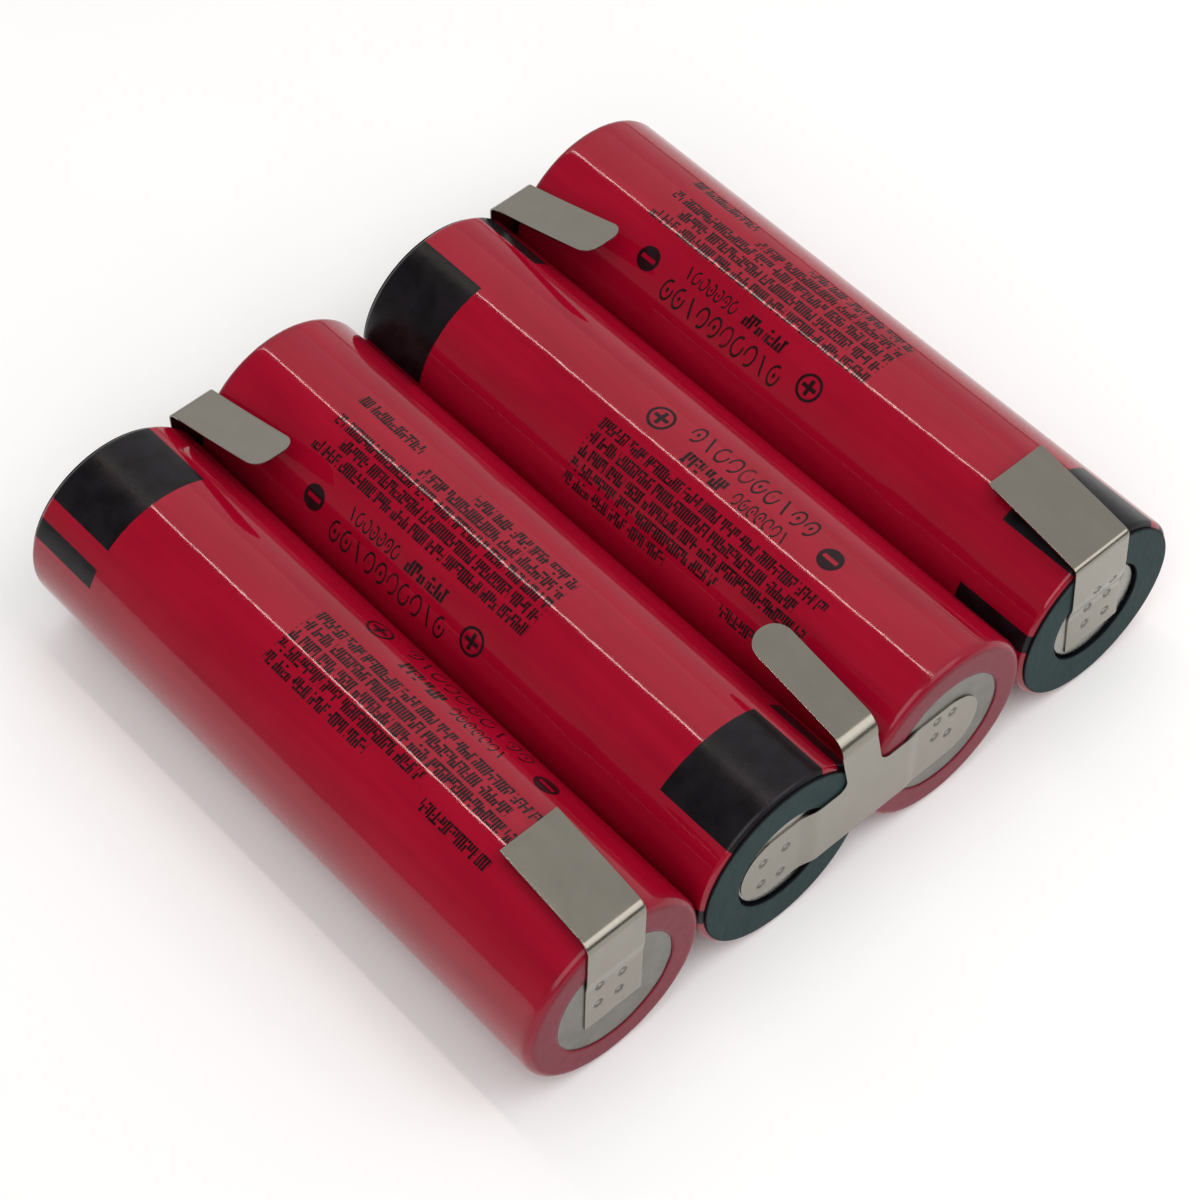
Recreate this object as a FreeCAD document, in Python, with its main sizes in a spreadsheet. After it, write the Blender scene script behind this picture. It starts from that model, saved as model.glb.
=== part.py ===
import FreeCAD, Part
import math
import os

import Sketcher

# Four cylindrical lithium-ion cells lie side by side in one row and are welded in series.
# Frame: +X across the row (cell 1 is at -X, cell 4 at +X), cells along Y, +Z up, z = 0 on the table.
# The near ends face -Y and the far ends face +Y. Cells 1 and 3 have their positive end far,
# cells 2 and 4 have it near. All sizes are in millimetres.

SIZES = {
    # the row
    "cell_pitch": 18.5,
    "axis_height": 9.225,
    "cell_length": 65.6,
    # sleeve and insulating ring
    "sleeve_radius": 9.225,
    "sleeve_wall": 0.1,
    "sleeve_shoulder": 0.5,
    "bottom_window_radius": 6.1,
    "sleeve_top": 65.35,
    "sleeve_top_window_radius": 7.0,
    "ring_outer_radius": 8.75,
    "ring_hole_radius": 5.1,
    # steel can
    "can_radius": 9.12,
    "can_wall": 0.25,
    "can_corner": 0.4,
    "can_floor": 0.35,
    "can_top": 65.25,
    "can_mouth_radius": 7.2,
    "bead_low": 60.9,
    "bead_high": 63.15,
    "bead_depth": 1.0,
    # header: seal, cap, resettable ring, vent disc and weld plate
    "header_radius": 8.4,
    "seal_low_lip": 0.4,
    "seal_high_lip": 0.4,
    "seal_window_radius": 5.6,
    "seal_top_window_radius": 7.5,
    "cap_flange_low": 64.2,
    "cap_sheet": 0.4,
    "cap_button_radius": 4.9,
    "cap_slope": 0.4,
    "ptc_sheet": 0.35,
    "ptc_hole_radius": 5.2,
    "vent_sheet": 0.3,
    "vent_dimple_radius": 2.2,
    "vent_dimple_foot": 1.3,
    "plate_radius": 7.1,
    "plate_sheet": 0.4,
    "plate_hole_radius": 0.8,
    "plate_hole_circle": 4.2,
    # inside the can
    "roll_low": 1.0,
    "roll_high": 60.0,
    "roll_radius": 8.75,
    "roll_hole_radius": 1.75,
    "insulator_radius": 8.6,
    "insulator_hole_radius": 3.0,
    "lower_insulator_low": 0.65,
    "lower_insulator_sheet": 0.2,
    "upper_insulator_low": 60.2,
    "upper_insulator_sheet": 0.3,
    "lead_width": 4.0,
    "lead_sheet": 0.12,
    "lead_reach": 2.4,
    "lead_rise_offset": 2.0,
    # nickel strip
    "nickel_sheet": 0.15,
    "nickel_gap": 0.05,
    "bend_radius": 0.6,
    "cap_recess": 0.35,
    "bar_width": 7.2,
    "bar_half_length": 13.5,
    "bar_end_radius": 3.5,
    "bar_corner_radius": 1.0,
    "terminal_corner_radius": 0.1,
    "tap_corner_radius": 1.5,
    "tap_round_radius": 1.9,
    # glue beads between the cells
    "glue_length": 48.0,
    "glue_top_drop": 1.2,
    "glue_bottom_drop": 3.6,
}

CELL_COUNT = 4
FAR_POSITIVE = {1: True, 2: False, 3: True, 4: False}
LARGE = 30.0
CORNER_STEPS = 6


class Size:
    """A number together with the spreadsheet expression that makes it."""

    def __init__(self, value, text):
        self.value = float(value)
        self.text = text

    def __add__(self, other):
        other = as_size(other)
        return Size(self.value + other.value, "(%s + %s)" % (self.text, other.text))

    def __sub__(self, other):
        other = as_size(other)
        return Size(self.value - other.value, "(%s - %s)" % (self.text, other.text))

    def __mul__(self, factor):
        return Size(self.value * factor, "%s * %.6f" % (self.text, factor))

    def __neg__(self):
        return self * -1.0

    __radd__ = __add__


def as_size(number):
    if isinstance(number, Size):
        return number
    return Size(number, "%.6f" % number)


def size(alias):
    return Size(SIZES[alias], "Sizes.%s" % alias)


def fill_sheet(doc):
    sheet = doc.addObject("Spreadsheet::Sheet", "Sizes")
    for row, (alias, value) in enumerate(SIZES.items(), start=1):
        sheet.set("A%d" % row, alias)
        sheet.set("B%d" % row, str(value))
        sheet.setAlias("B%d" % row, alias)
    doc.recompute()
    return sheet


def plane(body, role):
    for feature in body.Origin.OriginFeatures:
        if feature.Role == role:
            return feature
    raise RuntimeError("no plane " + role)


def outline_sketch(body, name, role, corners):
    """A closed polygon on one of the body's own planes; every corner is bound to the sheet."""
    sketch = body.newObject("Sketcher::SketchObject", name)
    sketch.AttachmentSupport = [(plane(body, role), "")]
    sketch.MapMode = "FlatFace"
    add_polygon(sketch, corners)
    return sketch


def add_polygon(sketch, corners):
    corners = [(as_size(across), as_size(along)) for across, along in corners]
    first = sketch.GeometryCount
    count = len(corners)
    for number, (across, along) in enumerate(corners):
        next_across, next_along = corners[(number + 1) % count]
        start = FreeCAD.Vector(across.value, along.value, 0)
        end = FreeCAD.Vector(next_across.value, next_along.value, 0)
        sketch.addGeometry(Part.LineSegment(start, end), False)
    for number in range(count):
        edge = first + number
        following = first + (number + 1) % count
        sketch.addConstraint(Sketcher.Constraint("Coincident", edge, 2, following, 1))
    for number, (across, along) in enumerate(corners):
        for kind, wanted in (("DistanceX", across), ("DistanceY", along)):
            edge = first + number
            index = sketch.addConstraint(Sketcher.Constraint(kind, -1, 1, edge, 1, wanted.value))
            sketch.setExpression("Constraints[%d]" % index, wanted.text)


def turned_body(doc, label, profile):
    """A body of revolution about its own Z axis; the profile gives (radius, height) corners."""
    body = doc.addObject("PartDesign::Body", label)
    sketch = outline_sketch(body, label + "_profile", "XZ_Plane", profile)
    turn = body.newObject("PartDesign::Revolution", label + "_turn")
    turn.Profile = sketch
    turn.ReferenceAxis = (sketch, ["V_Axis"])
    turn.Angle = 360.0
    body.Tip = turn
    return body


def padded(body, name, role, corners, length):
    """A polygon padded by the same amount to both sides of its plane."""
    sketch = outline_sketch(body, name + "_outline", role, corners)
    pad = body.newObject("PartDesign::Pad", name)
    pad.Profile = sketch
    pad.Midplane = True
    pad.Length = as_size(length).value
    pad.setExpression("Length", as_size(length).text)
    body.Tip = pad
    return pad


def pocketed(body, name, role, corners, length):
    sketch = outline_sketch(body, name + "_outline", role, corners)
    pocket = body.newObject("PartDesign::Pocket", name)
    pocket.Profile = sketch
    pocket.Midplane = True
    pocket.Length = as_size(length).value
    pocket.setExpression("Length", as_size(length).text)
    body.Tip = pocket
    return pocket


def rounded(doc, body, name, places, radius, direction):
    """Rounds the edges that run along one axis through the given places.

    A place gives the two coordinates across that axis, and None matches anything.
    """
    doc.recompute()
    base = body.Tip
    across = [axis for axis in "xyz" if axis != direction]
    names = []
    for number, edge in enumerate(base.Shape.Edges, start=1):
        if not isinstance(edge.Curve, Part.Line):
            continue
        start, end = edge.Vertexes[0].Point, edge.Vertexes[-1].Point
        run = end - start
        if abs(getattr(run, direction)) < 0.999 * run.Length:
            continue
        for place in places:
            gaps = [abs(getattr(start, axis) - wanted) for axis, wanted in zip(across, place)]
            if max(gaps) < 0.02:
                names.append("Edge%d" % number)
                break
    if not names:
        raise RuntimeError("no edges to round in " + name)
    fillet = body.newObject("PartDesign::Fillet", name)
    fillet.Base = (base, names)
    fillet.Radius = radius.value
    fillet.setExpression("Radius", radius.text)
    body.Tip = fillet
    doc.recompute()
    return fillet


# ---- pieces of one cell; heights run from the negative face up to the positive face ----


def sleeve(doc, label):
    outer = size("sleeve_radius")
    wall = size("sleeve_wall")
    top = size("sleeve_top")
    soft = size("sleeve_shoulder")
    cut = soft * (1 - math.sqrt(0.5))
    window = size("bottom_window_radius")
    mouth = size("sleeve_top_window_radius")
    profile = [
        (window, 0.0),
        (outer - soft, 0.0),
        (outer - cut, cut),
        (outer, soft),
        (outer, top - soft),
        (outer - cut, top - cut),
        (outer - soft, top),
        (mouth, top),
        (mouth, top - wall),
        (outer - soft, top - wall),
        (outer - wall, top - soft),
        (outer - wall, soft),
        (outer - soft, wall),
        (window, wall),
    ]
    return turned_body(doc, label, profile)


def insulator_ring(doc, label):
    low = size("sleeve_top")
    high = size("cell_length")
    inner = size("ring_hole_radius")
    outer = size("ring_outer_radius")
    return turned_body(doc, label, [(inner, low), (outer, low), (outer, high), (inner, high)])


def can(doc, label):
    outer = size("can_radius")
    wall = size("can_wall")
    floor = size("sleeve_wall")
    corner = size("can_corner")
    top = size("can_top")
    mouth = size("can_mouth_radius")
    low = size("bead_low")
    high = size("bead_high")
    middle = (low + high) * 0.5
    depth = size("bead_depth")
    inner_floor = floor + size("can_floor")
    profile = [
        (0.0, floor),
        (outer - corner, floor),
        (outer, floor + corner),
        (outer, low),
        (outer - depth, middle),
        (outer, high),
        (outer, top - corner),
        (outer - corner, top),
        (mouth, top),
        (mouth, top - wall),
        (outer - wall, top - wall),
        (outer - wall, high),
        (outer - wall - depth, middle),
        (outer - wall, low),
        (outer - wall, inner_floor),
        (0.0, inner_floor),
    ]
    return turned_body(doc, label, profile)


def seal(doc, label):
    outer = size("can_radius") - size("can_wall")
    inner = size("header_radius")
    low = size("bead_high")
    low_lip = low + size("seal_low_lip")
    top = size("can_top") - size("can_wall")
    top_lip = top - size("seal_high_lip")
    window = size("seal_window_radius")
    mouth = size("seal_top_window_radius")
    shelf = size("plate_radius") + 0.1
    step = low_lip - size("vent_sheet")
    profile = [
        (shelf, low),
        (outer, low),
        (outer, top),
        (mouth, top),
        (mouth, top_lip),
        (inner, top_lip),
        (inner, low_lip),
        (window, low_lip),
        (window, step),
        (shelf, step),
    ]
    return turned_body(doc, label, profile)


def positive_cap(doc, label):
    flange = size("header_radius")
    sheet = size("cap_sheet")
    low = size("cap_flange_low")
    top = size("cell_length") - size("cap_recess")
    button = size("cap_button_radius")
    foot = button + size("cap_slope")
    profile = [
        (0.0, top - sheet),
        (button - sheet, top - sheet),
        (foot - sheet, low),
        (flange, low),
        (flange, low + sheet),
        (foot, low + sheet),
        (button, top),
        (0.0, top),
    ]
    return turned_body(doc, label, profile)


def ptc_ring(doc, label):
    high = size("cap_flange_low")
    low = high - size("ptc_sheet")
    inner = size("ptc_hole_radius")
    outer = size("header_radius")
    return turned_body(doc, label, [(inner, low), (outer, low), (outer, high), (inner, high)])


def vent_disc(doc, label):
    high = size("cap_flange_low") - size("ptc_sheet")
    low = high - size("vent_sheet")
    drop = size("vent_sheet")
    dimple = size("vent_dimple_radius")
    foot = size("vent_dimple_foot")
    outer = size("header_radius")
    profile = [
        (0.0, low - drop),
        (foot, low - drop),
        (dimple, low),
        (outer, low),
        (outer, high),
        (dimple, high),
        (foot, high - drop),
        (0.0, high - drop),
    ]
    return turned_body(doc, label, profile)


def weld_plate(doc, label):
    """The plate under the vent disc, with six holes that let the pressure through."""
    high = size("cap_flange_low") - size("ptc_sheet") - size("vent_sheet") * 2.0
    low = high - size("plate_sheet")
    outer = size("plate_radius")
    body = turned_body(doc, label, [(0.0, low), (outer, low), (outer, high), (0.0, high)])
    sketch = body.newObject("Sketcher::SketchObject", label + "_hole")
    sketch.AttachmentSupport = [(plane(body, "XY_Plane"), "")]
    sketch.MapMode = "FlatFace"
    centre = size("plate_hole_circle")
    radius = size("plate_hole_radius")
    circle = Part.Circle(FreeCAD.Vector(centre.value, 0, 0), FreeCAD.Vector(0, 0, 1), radius.value)
    sketch.addGeometry(circle, False)
    sketch.addConstraint(Sketcher.Constraint("PointOnObject", 0, 3, -1))
    across = sketch.addConstraint(Sketcher.Constraint("DistanceX", -1, 1, 0, 3, centre.value))
    sketch.setExpression("Constraints[%d]" % across, centre.text)
    round_ = sketch.addConstraint(Sketcher.Constraint("Radius", 0, radius.value))
    sketch.setExpression("Constraints[%d]" % round_, radius.text)
    hole = body.newObject("PartDesign::Pocket", label + "_vent_hole")
    hole.Profile = sketch
    hole.Type = "ThroughAll"
    hole.Midplane = True
    doc.recompute()
    holes = body.newObject("PartDesign::PolarPattern", label + "_vent_holes")
    holes.Originals = [hole]
    holes.Axis = (sketch, ["N_Axis"])
    holes.Angle = 360.0
    holes.Occurrences = 6
    body.Tip = holes
    return body


def disc_insulator(doc, label, low, sheet):
    inner = size("insulator_hole_radius")
    outer = size("insulator_radius")
    high = low + sheet
    return turned_body(doc, label, [(inner, low), (outer, low), (outer, high), (inner, high)])


def electrode_roll(doc, label):
    low = size("roll_low")
    high = size("roll_high")
    inner = size("roll_hole_radius")
    outer = size("roll_radius")
    return turned_body(doc, label, [(inner, low), (outer, low), (outer, high), (inner, high)])


def positive_lead(doc, label):
    """The strip that rises from the roll and folds flat against the weld plate."""
    sheet = size("lead_sheet")
    rise = size("lead_rise_offset")
    reach = size("lead_reach")
    low = size("roll_high")
    plate = size("cap_flange_low") - size("ptc_sheet") - size("vent_sheet") * 2.0
    high = plate - size("plate_sheet")
    profile = [
        (rise, low),
        (rise + sheet, low),
        (rise + sheet, high),
        (rise - reach, high),
        (rise - reach, high - sheet),
        (rise, high - sheet),
    ]
    body = doc.addObject("PartDesign::Body", label)
    padded(body, label + "_strip", "XZ_Plane", profile, size("lead_width"))
    return body


def negative_lead(doc, label):
    """The strip that comes out under the roll and lies on the floor of the can."""
    sheet = size("lead_sheet")
    rise = size("roll_radius") - 1.5
    reach = size("lead_reach") + size("roll_radius")
    low = size("sleeve_wall") + size("can_floor")
    high = size("roll_low")
    body = doc.addObject("PartDesign::Body", label)
    shelf = size("lower_insulator_low")
    # the rise passes the edge of the insulator through the part of it that is cut away
    profile = [
        (rise - reach, low),
        (rise + sheet, low),
        (rise + sheet, shelf),
        (rise, shelf),
        (rise, low + sheet),
        (rise - reach, low + sheet),
    ]
    padded(body, label + "_strip", "XZ_Plane", profile, size("lead_width"))
    return body


def upper_insulator(doc, label):
    return disc_insulator(doc, label, size("upper_insulator_low"), size("upper_insulator_sheet"))


def lower_insulator(doc, label):
    return disc_insulator(doc, label, size("lower_insulator_low"), size("lower_insulator_sheet"))


CELL_PIECES = {
    "sleeve": sleeve,
    "insulator_ring": insulator_ring,
    "can": can,
    "seal": seal,
    "positive_cap": positive_cap,
    "ptc_ring": ptc_ring,
    "vent_disc": vent_disc,
    "weld_plate": weld_plate,
    "upper_insulator": upper_insulator,
    "electrode_roll": electrode_roll,
    "lower_insulator": lower_insulator,
    "positive_lead": positive_lead,
    "negative_lead": negative_lead,
}


def place_in_cell(body, number):
    """Lays the piece down along Y, with the positive end far or near."""
    across = size("cell_pitch") * (number - (CELL_COUNT + 1) / 2)
    half = size("cell_length") * 0.5
    if FAR_POSITIVE[number]:
        turn = FreeCAD.Rotation(FreeCAD.Vector(1, 0, 0), -90)
        along = -half
    else:
        turn = FreeCAD.Rotation(FreeCAD.Vector(1, 0, 0), 90)
        along = half
    place(body, across, along, size("axis_height"), turn)


def place(body, across, along, up, turn):
    base = FreeCAD.Vector(across.value, along.value, up.value)
    body.Placement = FreeCAD.Placement(base, turn)
    body.setExpression("Placement.Base.x", across.text)
    body.setExpression("Placement.Base.y", along.text)
    body.setExpression("Placement.Base.z", up.text)


# ---- nickel strip ----
# Each piece is made as if on a near end: x across, z from the cell axis, and y = 0 is the plane
# just outside the end faces. The strip lies outside that plane and folds over towards +Y.


def strap_profile(pad_depth, pad_low, pad_high, ramp_high, fold_top, tip_along, tip_top):
    """Side view (y, z) of a strap: weld pad, ramp, upright, fold and free leg."""
    sheet = size("nickel_sheet")
    pad = as_size(pad_depth)
    return [
        (pad - sheet, pad_low),
        (pad, pad_low),
        (pad, pad_high),
        (0.0, ramp_high),
        (0.0, fold_top - sheet),
        (tip_along, tip_top - sheet),
        (tip_along, tip_top),
        (-sheet, fold_top),
        (-sheet, ramp_high),
        (pad - sheet, pad_high),
    ]


def strap_without_pad(bar_low, fold_top, tip_along, tip_top):
    """Side view (y, z) of the middle strap of a link, which has no weld pad of its own."""
    sheet = size("nickel_sheet")
    return [
        (-sheet, bar_low),
        (0.0, bar_low),
        (0.0, fold_top - sheet),
        (tip_along, tip_top - sheet),
        (tip_along, tip_top),
        (-sheet, fold_top),
    ]


def fold(doc, body, label, fold_top):
    """Turns the sharp corner of the strap into a bend with an inner and an outer radius."""
    sheet = SIZES["nickel_sheet"]
    inner = size("bend_radius")
    rounded(doc, body, label + "_inner_bend", [(0.0, fold_top.value - sheet)], inner, "x")
    outer = inner + size("nickel_sheet")
    rounded(doc, body, label + "_outer_bend", [(-sheet, fold_top.value)], outer, "x")


def tip_corner(across, along, side, radius):
    """Points of a rounded corner of the free end, from its side edge to its end edge."""
    points = []
    for step in range(CORNER_STEPS + 1):
        angle = 0.5 * math.pi * step / CORNER_STEPS
        inward = radius * (side * (1 - math.cos(angle)))
        back = radius * (1 - math.sin(angle))
        points.append((inward + across, -back + along))
    return points


def trim_leg(body, label, tip_along, fold_edges, tip_edges, radius):
    """Cuts the free leg to its outline seen from above."""
    start = size("bend_radius")
    end = tip_along + 2.0
    left = tip_corner(tip_edges[0], tip_along, 1, radius)
    right = tip_corner(tip_edges[1], tip_along, -1, radius)
    corners = [(-LARGE, start), (fold_edges[0], start)] + left + right[::-1]
    corners += [(fold_edges[1], start), (LARGE, start), (LARGE, end), (-LARGE, end)]
    pocketed(body, label + "_leg_trim", "XY_Plane", corners, 2.0 * LARGE)


def trim_face(body, label, path):
    """Cuts the part that lies on the cell ends to its outline seen from the front."""
    low = min(as_size(along).value for across, along in path) - 2.0
    top = path[0][1]
    corners = [(-LARGE, top)] + path + [(LARGE, top), (LARGE, low), (-LARGE, low)]
    pocketed(body, label + "_face_trim", "XZ_Plane", corners, size("bend_radius") * 2.0)


def terminal(doc, label, pad_depth, pad_high, ramp_high, shape):
    """A terminal tab: a straight strap welded to one cell end and folded over its top."""
    fold_top = as_size(shape["fold_top"])
    tip_along = as_size(shape["tip_along"])
    foot = as_size(shape["foot"])
    body = doc.addObject("PartDesign::Body", label)
    profile = strap_profile(
        pad_depth, foot, pad_high, ramp_high, fold_top, tip_along, as_size(shape["tip_top"])
    )
    padded(body, label + "_strap", "YZ_Plane", profile, 12.0)
    fold(doc, body, label, fold_top)
    left, right = shape["fold_edges"]
    foot_left, foot_right = shape["foot_edges"]
    radius = size(shape["tip_radius"])
    trim_leg(body, label, tip_along, shape["fold_edges"], shape["tip_edges"], radius)
    top = fold_top + 1.0
    path = [(left, top), (left, fold_top), (foot_left, foot - 1.0),
            (foot_right, foot - 1.0), (right, fold_top), (right, top)]
    trim_face(body, label, path)
    doc.recompute()
    return body


def link(doc, label, cap_side, shape):
    """A series link: a bar welded to two cells, with a balance tap folded over the groove."""
    sheet = size("nickel_sheet")
    half = size("bar_width") * 0.5
    pitch_half = size("cell_pitch") * 0.5
    bar_half = size("bar_half_length")
    shift = shape["bar_shift"]
    cap = size("cap_recess") + size("nickel_gap")
    can_face = size("sleeve_wall") + size("nickel_gap")
    fold_top = as_size(shape["fold_top"])
    tip_along = as_size(shape["tip_along"])
    # top view (x, y) of the bar: pad, ramp, bridge, ramp and pad, for the cap on the -X side
    steps = [
        (-bar_half, cap),
        (-pitch_half + 1.4, cap),
        (-pitch_half + 3.5, as_size(0.0)),
        (pitch_half - 4.7, as_size(0.0)),
        (pitch_half - 3.2, can_face),
        (bar_half, can_face),
    ]
    if cap_side > 0:
        steps = [(-across, depth) for across, depth in reversed(steps)]
    steps = [(across + shift, depth) for across, depth in steps]
    profile = steps + [(across, depth - sheet) for across, depth in reversed(steps)]
    body = doc.addObject("PartDesign::Body", label)
    padded(body, label + "_bar", "XY_Plane", profile, size("bar_width"))
    strap = strap_without_pad(-half * 0.5, fold_top, tip_along, as_size(shape["tip_top"]))
    padded(body, label + "_strap", "YZ_Plane", strap, 9.0)
    fold(doc, body, label, fold_top)
    left, right = shape["fold_edges"]
    root_left, root_right = shape["root_edges"]
    radius = size(shape["tip_radius"])
    trim_leg(body, label, tip_along, shape["fold_edges"], shape["tip_edges"], radius)
    top = fold_top + 1.0
    path = [(left, top), (left, fold_top), (root_left, half), (-bar_half + shift - 1.0, half),
            (-bar_half + shift - 1.0, -half - 1.0), (bar_half + shift + 1.0, -half - 1.0),
            (bar_half + shift + 1.0, half), (root_right, half), (right, fold_top), (right, top)]
    trim_face(body, label, path)
    ends = []
    for side in (-1, 1):
        for height in (-half.value, half.value):
            ends.append((side * bar_half.value + shift, height))
    rounded(doc, body, label + "_bar_ends", ends, size("bar_end_radius"), "y")
    roots = [(root_left, half.value), (root_right, half.value)]
    rounded(doc, body, label + "_roots", roots, size("bar_corner_radius"), "y")
    return body


NEGATIVE_TERMINAL = {
    "fold_top": 9.95, "tip_top": 9.95, "tip_along": 11.2, "foot": -2.2,
    "fold_edges": (-2.95, 3.1), "foot_edges": (-3.4, 2.6), "tip_edges": (-2.1, 3.85),
    "tip_radius": "terminal_corner_radius",
}
POSITIVE_TERMINAL = {
    "fold_top": 9.45, "tip_top": 10.3, "tip_along": 10.9, "foot": -3.3,
    "fold_edges": (-4.2, 2.4), "foot_edges": (-3.1, 3.2), "tip_edges": (-3.4, 3.0),
    "tip_radius": "terminal_corner_radius",
}
LINKS = {
    "link_1_2": {
        "bar_shift": 0.0, "fold_top": 7.3, "tip_top": 10.9, "tip_along": 12.5,
        "root_edges": (-2.2, 2.2), "fold_edges": (-2.2, 2.2), "tip_edges": (-2.45, 1.95),
        "tip_radius": "tap_corner_radius",
    },
    "link_2_3": {
        "bar_shift": -0.45, "fold_top": 10.1, "tip_top": 10.0, "tip_along": 13.1,
        "root_edges": (-2.55, 1.45), "fold_edges": (-3.5, 0.45), "tip_edges": (-2.1, 1.85),
        "tip_radius": "tap_round_radius",
    },
    "link_3_4": {
        "bar_shift": 0.0, "fold_top": 7.2, "tip_top": 11.1, "tip_along": 13.1,
        "root_edges": (-2.25, 2.25), "fold_edges": (-2.25, 2.25), "tip_edges": (-2.6, 1.9),
        "tip_radius": "tap_corner_radius",
    },
}


def place_on_end(body, across, near):
    plane_offset = size("cell_length") * 0.5 + size("nickel_gap")
    angle = 0 if near else 180
    along = -plane_offset if near else plane_offset
    turn = FreeCAD.Rotation(FreeCAD.Vector(0, 0, 1), angle)
    place(body, across, along, size("axis_height"), turn)


def build_nickel(doc):
    pitch = size("cell_pitch")
    can_face = size("sleeve_wall") + size("nickel_gap")
    cap = size("cap_recess") + size("nickel_gap")
    made = []
    body = terminal(doc, "negative_terminal_tab", can_face, 3.0, 4.8, NEGATIVE_TERMINAL)
    place_on_end(body, pitch * -1.5, True)
    made.append(body)
    body = terminal(doc, "positive_terminal_tab", cap, 1.6, 3.8, POSITIVE_TERMINAL)
    place_on_end(body, pitch * 1.5, True)
    made.append(body)
    for label, across, near, cap_side in (
        ("link_1_2", -1.0, False, 1),
        ("link_2_3", 0.0, True, -1),
        ("link_3_4", 1.0, False, 1),
    ):
        body = link(doc, label, cap_side, LINKS[label])
        place_on_end(body, pitch * across, near)
        made.append(body)
    return made


def build_glue(doc, number):
    """A bead of hot glue in the groove under two neighbouring cells."""
    label = "glue_bead_%d_%d" % (number, number + 1)
    across = size("cell_pitch") * (number - CELL_COUNT / 2)
    width = 2.0
    length = size("glue_length")
    top = size("axis_height") - size("glue_top_drop")
    bottom = size("axis_height") - size("glue_bottom_drop")
    block = doc.addObject("Part::Box", label + "_block")
    bind(block, "Length", as_size(width))
    bind(block, "Width", length)
    bind(block, "Height", top - bottom)
    flat = FreeCAD.Rotation()
    place(block, across - width / 2, length * -0.5, bottom, flat)
    tools = []
    for side in (-1, 1):
        cell = doc.addObject("Part::Cylinder", "%s_cell_%s" % (label, "left" if side < 0 else "right"))
        bind(cell, "Radius", size("sleeve_radius"))
        bind(cell, "Height", length + 2.0)
        turn = FreeCAD.Rotation(FreeCAD.Vector(1, 0, 0), 90)
        place(cell, across + size("cell_pitch") * (side * 0.5), (length + 2.0) * 0.5,
              size("axis_height"), turn)
        tools.append(cell)
    both = doc.addObject("Part::MultiFuse", label + "_cells")
    both.Shapes = tools
    bead = doc.addObject("Part::Cut", label)
    bead.Base = block
    bead.Tool = both
    return bead


def bind(thing, name, amount):
    setattr(thing, name, amount.value)
    thing.setExpression(name, amount.text)


def check(doc, pieces):
    for thing in doc.Objects:
        if "Invalid" in thing.State or "Error" in thing.State:
            raise RuntimeError("failed: %s %s" % (thing.Label, thing.State))
    for piece in pieces:
        if piece.Shape.isNull() or not piece.Shape.isValid():
            raise RuntimeError("bad shape: " + piece.Label)
        if not piece.Shape.Solids:
            raise RuntimeError("no solid: " + piece.Label)


def main():
    doc = FreeCAD.newDocument("battery_pack")
    fill_sheet(doc)
    pieces = []
    for number in range(1, CELL_COUNT + 1):
        for name, make in CELL_PIECES.items():
            body = make(doc, "%s_%d" % (name, number))
            place_in_cell(body, number)
            pieces.append(body)
    pieces += build_nickel(doc)
    for number in range(1, CELL_COUNT):
        pieces.append(build_glue(doc, number))
    doc.recompute()
    check(doc, pieces)
    os.makedirs("parts", exist_ok=True)
    for piece in pieces:
        piece.Shape.exportStep("parts/%s.step" % piece.Label)
        solids = len(piece.Shape.Solids)
        print("%-26s %10.2f mm3  %d solid(s)" % (piece.Label, piece.Shape.Volume, solids))
    print(len(pieces), "pieces")


main()
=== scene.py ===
import math

import bmesh
import bpy
from mathutils import Matrix, Vector, noise


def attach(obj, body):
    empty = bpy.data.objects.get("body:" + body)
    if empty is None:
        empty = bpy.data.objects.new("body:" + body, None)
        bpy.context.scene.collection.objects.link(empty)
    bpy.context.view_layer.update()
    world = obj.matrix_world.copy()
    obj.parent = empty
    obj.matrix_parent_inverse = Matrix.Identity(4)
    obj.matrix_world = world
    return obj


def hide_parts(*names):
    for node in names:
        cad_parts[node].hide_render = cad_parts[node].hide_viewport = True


# The looks of a flat pack of four wrapped lithium-ion cells, welded in series with nickel strip.
# Lengths below are in millimetres and go to metres when a mesh is finished.
MM = 0.001

CELL_COUNT = 4
CELL_PITCH = 18.5
CELL_LENGTH = 65.6
AXIS_HEIGHT = 9.225
FAR_POSITIVE = {1: True, 2: False, 3: True, 4: False}
# how far round each cell lies: the angle, from +X towards +Z, of its line of polarity marks
MARK_ANGLE = {1: 51.0, 2: 142.0, 3: 88.0, 4: 125.5}

FILM_RADIUS = 9.2
FILM_INNER_RADIUS = 9.125
SLEEVE_TOP = 65.35
WINDOW_RADIUS = 6.1
TOP_WINDOW_RADIUS = 7.0
RING_HOLE_RADIUS = 5.1
RING_RADIUS = 8.75
HEADER_TOP = 65.25
NICKEL_SHEET = 0.15

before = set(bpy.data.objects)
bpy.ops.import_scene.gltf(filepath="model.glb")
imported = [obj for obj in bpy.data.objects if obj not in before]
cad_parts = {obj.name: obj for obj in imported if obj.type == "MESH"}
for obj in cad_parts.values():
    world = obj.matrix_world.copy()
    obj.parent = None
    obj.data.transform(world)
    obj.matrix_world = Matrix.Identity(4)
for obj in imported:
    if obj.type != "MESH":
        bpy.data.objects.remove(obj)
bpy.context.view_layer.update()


# ---- mesh helpers


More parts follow.
